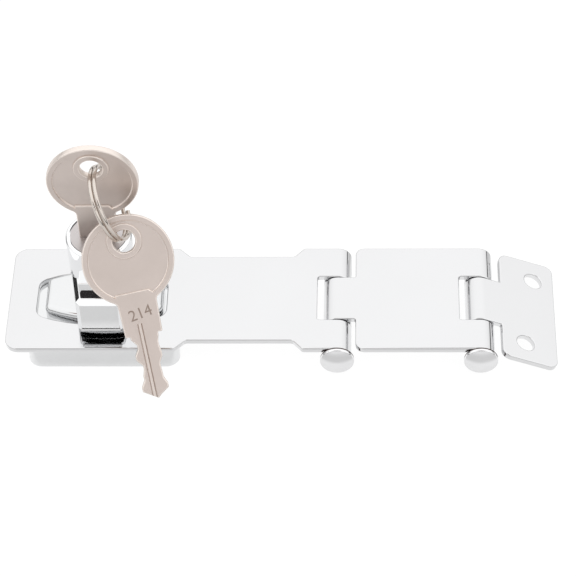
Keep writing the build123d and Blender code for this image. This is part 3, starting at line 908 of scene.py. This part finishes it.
def make_knob():
    groove_foot, groove_top, groove_radius = clip_groove
    knob = turned("knob", [
        (0, knob_foot), (barrel_foot_radius - 0.1, knob_foot),
        (barrel_foot_radius, knob_foot + 0.1),
        (barrel_top_radius, knob_rim - 0.42), (barrel_top_radius - 0.06, knob_rim - 0.3),
        (barrel_top_radius - 0.3, knob_rim - 0.06), (barrel_top_radius - 0.42, knob_rim),
        (0, knob_rim),
    ], 128)
    combine(knob, make_wings(), "UNION")
    shoulder = block(*shoulder_block)
    soften = shoulder.modifiers.new("soften", "BEVEL")
    soften.width = shoulder_edge
    soften.segments = 2
    combine(knob, settle(shoulder), "UNION")
    bead_radius, bead_y, bead_z, bead_half = foot_bead
    for side in (-1, 1):
        bead = rod(bead_radius, -bead_half, bead_half, steps=24)
        lay = Matrix.Rotation(math.radians(90), 4, "Y")
        bead.data.transform(Matrix.Translation((0, side * bead_y, bead_z)) @ lay)
        combine(knob, bead, "UNION")
    shaft = turned("shaft", [
        (0, shaft_foot), (shaft_radius - 0.15, shaft_foot), (shaft_radius, shaft_foot + 0.15),
        (shaft_radius, groove_foot), (groove_radius, groove_foot), (groove_radius, groove_top),
        (shaft_radius, groove_top), (shaft_radius, knob_foot + 0.3), (0, knob_foot + 0.3),
    ])
    combine(knob, shaft, "UNION")
    ring_foot, ring_top, ring_radius = retainer_groove
    bore = turned("bore", [
        (0, chamber_floor), (plug_bore, chamber_floor), (plug_bore, ring_foot),
        (ring_radius, ring_foot),
        (ring_radius, ring_top), (plug_bore, ring_top), (plug_bore, plug_shoulder),
        (plug_head_bore, plug_shoulder), (plug_head_bore, knob_rim - rim_relief[1]),
        (plug_head_bore + rim_relief[0], knob_rim - rim_relief[1]),
        (plug_head_bore + rim_relief[0], knob_rim + 0.1), (0, knob_rim + 0.1),
    ], 128)
    combine(knob, bore, "DIFFERENCE")
    reach, half, foot = wafer_groove
    combine(knob, block(-reach, reach, -half, half, foot, plug_shoulder), "DIFFERENCE")
    combine(knob, block(-half, half, -reach, reach, foot, plug_shoulder), "DIFFERENCE")
    combine(knob, block(*bolt_pocket), "DIFFERENCE")
    combine(knob, block(*bolt_nose_slot), "DIFFERENCE")
    return dress(knob, knob_chrome, "knob", ["knob_body"])


make_knob()


# Keys
# Two alike, stamped from 1.6 mm brass, tumbled and plated with warm nickel. The bow is pressed in
# between its rim, a ring round the hole and the neck; the blade is cut on both edges.
key_thickness = 1.6
key_edge = 0.28
plug_top = 27.85
bow_radius = 9.75
bow_centre = 16.2
key_hole = 20.3
key_hole_radius = 2.4
neck_foot_half = 4.0
neck_side_half = 4.19
neck_round = 1.2
rim_width = 1.2
hole_ring_radius = 3.8
press_depth = 0.38
press_edge = 0.36
step_slope = 0.32
neck_plate = [(-4.3, -1), (4.3, -1), (4.3, 8.0), (2.9, 9.4), (-4.3, 9.4)]
blade_half = 3.0
blade_length = 14.0
left_cuts = [1.05, 0.25, 1.4, 1.0, 0.2]
right_cuts = [0.35, 0.1, 0.9, 0.8, 0.15]
groove_sides = (-1.0, 0.1)
groove_depth = 0.3
groove_slope = 0.28
groove_top = 2.5
stamp = "214"
stamp_size = 3.4
stamp_depth = 0.12
spare_hole = Vector((6.6, -9.2, 35.4))


def build_tumbled():
    """Tumbled plate: a soft mottle, and the fine pits that the stones leave."""
    inputs = [("Mottle size", 160.0), ("Pit size", 2600.0)]
    group, given = make_group("tumbled", inputs, ["Mottle", "Pits"])
    place = add_node(group, "ShaderNodeTexCoord").outputs["Object"]
    add_node(group, "NodeGroupOutput", {
        "Mottle": add_noise(group, place, given["Mottle size"], 4),
        "Pits": add_noise(group, place, given["Pit size"], 2),
    })
    return group


tumbled = build_tumbled()


def make_key_nickel():
    material = bpy.data.materials.new("key_nickel")
    material.use_nodes = True
    tree = material.node_tree
    finish = add_node(tree, "ShaderNodeGroup", node_tree=tumbled).outputs
    tone = mix_colours(tree, finish["Mottle"], (0.57, 0.50, 0.46), (0.74, 0.655, 0.61))
    # Painted shade: the stamped digits and the groove's left wall are darkened towards a dark
    # brown.
    hollow_shade = add_node(tree, "ShaderNodeAttribute", attribute_name="hollow_shade").outputs["Fac"]
    hollow_shaded = mix_colours(tree, hollow_shade, tone, (0.35, 0.28, 0.24))
    # Lighter towards a pale pink: the groove's other faces get a painted highlight, and the narrow
    # edge faces get wear and painted highlight.
    wear_and_highlight = add_node(tree, "ShaderNodeAttribute", attribute_name="wear_and_highlight").outputs["Fac"]
    bright = mix_colours(tree, wear_and_highlight, hollow_shaded, (0.92, 0.84, 0.78))
    gloss = add_node(tree, "ShaderNodeMapRange", {
        "Value": finish["Mottle"], "To Min": 0.3, "To Max": 0.46,
    })
    bump = add_node(tree, "ShaderNodeBump", {
        "Strength": 0.12, "Distance": 0.00002, "Height": finish["Pits"],
    })
    feed(tree, tree.nodes["Principled BSDF"], {
        "Metallic": 1, "Base Color": bright, "Roughness": gloss.outputs["Result"],
        "Normal": bump.outputs["Normal"],
    })
    return material


key_nickel = make_key_nickel()


def key_outline():
    """The bow, the neck with its crooks, the shoulder and the cut blade, counterclockwise."""
    crook_x = neck_side_half + neck_round
    crook_z = bow_centre - math.sqrt((bow_radius + neck_round) ** 2 - crook_x**2)
    towards_bow = math.atan2(bow_centre - crook_z, -crook_x)
    steps = 6
    crook = []
    for k in range(steps + 1):
        a = math.pi + (towards_bow - math.pi) * k / steps
        crook.append((crook_x + neck_round * math.cos(a), crook_z + neck_round * math.sin(a)))
    first = math.atan2(crook[-1][1] - bow_centre, crook[-1][0])
    sweep = math.pi - 2 * first
    arc = []
    for k in range(1, 96):
        a = first + sweep * k / 96
        arc.append((bow_radius * math.cos(a), bow_centre + bow_radius * math.sin(a)))
    bow = crook + arc + [(-x, z) for x, z in reversed(crook)]

    def cut_edge(cuts, side):
        points = []
        for i, cut in enumerate(cuts):
            depth = 2.4 + 2.3 * i
            x = side * (blade_half - cut)
            points += [(x, -depth + 0.45, 0.25), (x, -depth - 0.45, 0.25)]
        return points

    shoulder = [(neck_foot_half, 0, 0.3), (blade_half, 0, 0.2), (blade_half, -0.6, 0.2)]
    left = [(-x, z, radius) for x, z, radius in shoulder] + cut_edge(left_cuts, -1)
    end = -blade_length
    tip = [(-0.2, end + 0.3, 0.3), (0.3, end, 0.4), (1.0, end + 0.7, 0.3)]
    right_edge = cut_edge(right_cuts, 1)[::-1] + shoulder[::-1]
    return rounded([(x, z, 0) for x, z in bow] + left + tip + right_edge)


def make_channel(half):
    """The cutter for the groove along the blade, wider at the surface than at its floor."""
    left, right_side = groove_sides
    channel = block(left, right_side, -blade_length - 1, groove_top, half - groove_depth, half)
    middle = (left + right_side) / 2
    for vertex in channel.data.vertices:
        if vertex.co.z < half - 0.01:
            vertex.co.x += groove_slope if vertex.co.x < middle else -groove_slope
        else:
            vertex.co.z += 0.02
    return channel


def mark_faces(mesh, half, stamped_side):
    """Marks painted shade on the stamped digits and the groove's left wall, a painted highlight on
    the groove's other faces, and a lighter tone on the narrow edge faces for wear and painted
    highlight.
    """
    hollow_shade = mesh.attributes.new("hollow_shade", "FLOAT", "FACE")
    wear_and_highlight = mesh.attributes.new("wear_and_highlight", "FLOAT", "FACE")
    for face in mesh.polygons:
        x, z, height = face.center
        below = half - height
        sunk = half - height * stamped_side
        # Painted shade in the stamped digits.
        if abs(x) < 3.6 and 2.6 < z < 6.6 and 0.005 < sunk < stamp_depth + 0.01:
            hollow_shade.data[face.index].value = 1
        # The groove's left wall gets painted shade, its other faces a painted highlight.
        elif groove_sides[0] < x < groove_sides[1] and z < groove_top and 0.005 < below < 0.5:
            hollow_shade.data[face.index].value = 0.5 if face.normal.x < -0.3 else 0
            wear_and_highlight.data[face.index].value = 0 if face.normal.x < -0.3 else 0.3
        # Narrow edge faces: lighter, for wear and painted highlight.
        elif abs(face.normal.z) < 0.97 and face.area < 4:
            wear_and_highlight.data[face.index].value = 0.7


def make_key(name, body, pose, stamped_side):
    """Drawn flat with its front upwards, then stood up facing the front."""
    half = key_thickness / 2
    hole = circle(0, key_hole, key_hole_radius, 48)
    key = plate(name, key_outline(), [hole], -half, half, key_edge)
    pressed = circle(0, bow_centre, bow_radius - rim_width, 96)
    front = (half - press_depth, half + 1, half - press_depth - 1, half + 0.02)
    back = (-half - 1, -half + press_depth, -half - 0.02, -half + press_depth + 1)
    for low, high, kept_low, kept_high in (front, back):
        press = plate("press", pressed, [], low, high, press_edge, 3)
        ring = circle(0, key_hole, hole_ring_radius, 48)
        combine(press, plate("ring", ring, [], kept_low, kept_high, step_slope, 2), "DIFFERENCE")
        neck = plate("neck", neck_plate, [], kept_low, kept_high, step_slope, 2)
        combine(press, neck, "DIFFERENCE")
        combine(key, press, "DIFFERENCE")
    combine(key, make_channel(half), "DIFFERENCE", "FAST")
    words = bpy.data.curves.new("stamp", "FONT")
    words.body = stamp
    words.size = stamp_size
    words.align_x = "CENTER"
    words.align_y = "CENTER"
    words.extrude = stamp_depth
    words.resolution_u = 4
    lettering = bpy.data.objects.new("stamp", words)
    bpy.context.scene.collection.objects.link(lettering)
    mesh = made_plain(lettering)
    bpy.data.objects.remove(lettering)
    mesh.transform(Matrix.Translation((0.2, 4.6, half)) @ Matrix.Rotation(math.radians(9), 4, "Z"))
    if stamped_side < 0:
        mesh.transform(Matrix.Rotation(math.radians(180), 4, "Y"))
    combine(key, add_solid("lettering", mesh), "DIFFERENCE")
    close_slits(key)
    soften = key.modifiers.new("soften", "BEVEL")
    soften.width = 0.07
    soften.segments = 2
    soften.limit_method = "ANGLE"
    soften.angle_limit = math.radians(55)
    close_slits(settle(key))
    mark_faces(key.data, half, stamped_side)
    key.data.transform(pose @ Matrix.Rotation(math.radians(90), 4, "X"))
    return dress(key, key_nickel, body, [name], sharp=40)


spare_pose = (
    Matrix.Translation(spare_hole) @ Matrix.Rotation(math.radians(18.05), 4, "Z")
    @ Matrix.Rotation(math.radians(-38.3), 4, "X") @ Matrix.Rotation(math.radians(-7.0), 4, "Z")
    @ Matrix.Translation((0, 0, -key_hole))
)
make_key("key_in_lock", "key", Matrix.Translation((0, 0, plug_top)), -1)
make_key("spare_key", "spare_key", spare_pose, 1)


# Split ring
# Spring wire wound in two turns that lie against each other, with a jog where the wire steps
# from one turn to the other; nickel plated. Both keys hang on it.
ring_centre = Vector((3.64, -3.37, 40.84))
ring_axis = Vector((0.921, 0.042, 0.387)).normalized()
ring_mean_radius = 8.18
ring_wire_radius = 0.45
ring_pitch = 1.0
ring_points = 260
ring_sides = 20
ring_start = -92.0
ring_sweep = 684.0
jog_start = 235.0
jog_sweep = 30.0

ring_steel = plated(
    "ring_steel", [(0.60, 0.54, 0.49), (0.70, 0.64, 0.59)], (0.12, 0.2), 0.1, 0.5,
    sizes={"Haze size": 300.0, "Hairline size": 1500.0},
)


def build_coil():
    """Wire led round in turns; its height steps by one pitch within the jog."""
    numbers = (
        "Mean radius", "Wire radius", "Pitch", "Start", "Sweep", "Jog start", "Jog sweep",
    )
    tree, given = start_tree("wind_ring", numbers, "Ring")
    work = calculator(tree)
    line = add_node(tree, "GeometryNodeCurvePrimitiveLine").outputs["Curve"]
    fine = add_node(tree, "GeometryNodeResampleCurve", {"Curve": line, "Count": ring_points})
    along = add_node(tree, "GeometryNodeSplineParameter").outputs["Factor"]
    angle = work("MULTIPLY_ADD", along, given["Sweep"], given["Start"])
    share = add_node(tree, "ShaderNodeMapRange", {
        "Value": work("SUBTRACT", angle, given["Jog start"]), "From Max": given["Jog sweep"],
    }, interpolation_type="SMOOTHSTEP")
    turn = work("RADIANS", angle)
    place = add_node(tree, "ShaderNodeCombineXYZ", {
        "X": work("MULTIPLY", given["Mean radius"], work("COSINE", turn)),
        "Y": work("MULTIPLY", given["Mean radius"], work("SINE", turn)),
        "Z": work("MULTIPLY", work("SUBTRACT", share.outputs["Result"], 0.5), given["Pitch"]),
    })
    move = add_node(tree, "GeometryNodeSetPosition", {
        "Geometry": fine.outputs["Curve"], "Position": place.outputs["Vector"],
    })
    section = add_node(tree, "GeometryNodeCurvePrimitiveCircle", {
        "Resolution": ring_sides, "Radius": given["Wire radius"],
    })
    wire = add_node(tree, "GeometryNodeCurveToMesh", {
        "Curve": move.outputs["Geometry"], "Profile Curve": section.outputs["Curve"],
        "Fill Caps": True,
    })
    return end_tree(tree, wire.outputs["Mesh"], given["Finish"], "Ring")


def make_ring():
    ring = bpy.data.objects.new("split_ring", bpy.data.meshes.new("split_ring"))
    bpy.context.scene.collection.objects.link(ring)
    wind = ring.modifiers.new("wind", "NODES")
    wind.node_group = build_coil()
    set_inputs(wind, {
        "Mean radius": ring_mean_radius, "Wire radius": ring_wire_radius, "Pitch": ring_pitch,
        "Start": ring_start, "Sweep": ring_sweep,
        "Jog start": jog_start, "Jog sweep": jog_sweep, "Finish": ring_steel,
    })
    settle(ring)
    towards_key = Vector((0, 0, plug_top + key_hole)) - ring_centre
    x_way = (towards_key - ring_axis * towards_key.dot(ring_axis)).normalized()
    lay = Matrix((x_way, ring_axis.cross(x_way), ring_axis)).transposed().to_4x4()
    lay.translation = ring_centre
    ring.data.transform(lay)
    return dress(ring, ring_steel, "ring", ["key_ring"])


make_ring()


# Plug and the parts sealed inside
# The plug is turned brass with a satin nickel face. The wafers, the retaining wafer and the bolt
# are stamped brass, the springs and the circlip spring steel, and the washer is moulded nylon.
satin_nickel = plated(
    "satin_nickel", [(0.49, 0.46, 0.455), (0.58, 0.55, 0.545)], (0.26, 0.4), 0.12, 0.6,
    sizes={"Haze size": 200.0, "Hairline size": 1800.0},
)
plain_brass = plated(
    "plain_brass", [(0.58, 0.42, 0.17), (0.70, 0.52, 0.24)], (0.25, 0.4), 0.1, 0.6,
    sizes={"Haze size": 250.0, "Hairline size": 1500.0},
)
dark_spring_steel = plated(
    "dark_spring_steel", [(0.22, 0.22, 0.23), (0.34, 0.34, 0.35)], (0.25, 0.4), 0.1, 0.6,
    sizes={"Haze size": 300.0, "Hairline size": 1500.0},
)


def make_nylon():
    material = bpy.data.materials.new("black_nylon")
    material.use_nodes = True
    tree = material.node_tree
    mottle = add_node(tree, "ShaderNodeGroup", node_tree=tumbled).outputs["Mottle"]
    tone = mix_colours(tree, mottle, (0.012, 0.012, 0.012), (0.03, 0.03, 0.03))
    feed(tree, tree.nodes["Principled BSDF"], {"Base Color": tone, "Roughness": 0.5})
    return material


inner_finishes = {
    "lock_plug": satin_nickel, "retaining_wafer": plain_brass, "locking_bolt": plain_brass,
    "circlip": dark_spring_steel, "thrust_washer": make_nylon(),
}
for i in range(1, 6):
    inner_finishes[f"wafer_{i}"] = plain_brass
    inner_finishes[f"wafer_spring_{i}"] = dark_spring_steel
for name, finish in inner_finishes.items():
    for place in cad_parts[name].material_slots:
        place.material = finish
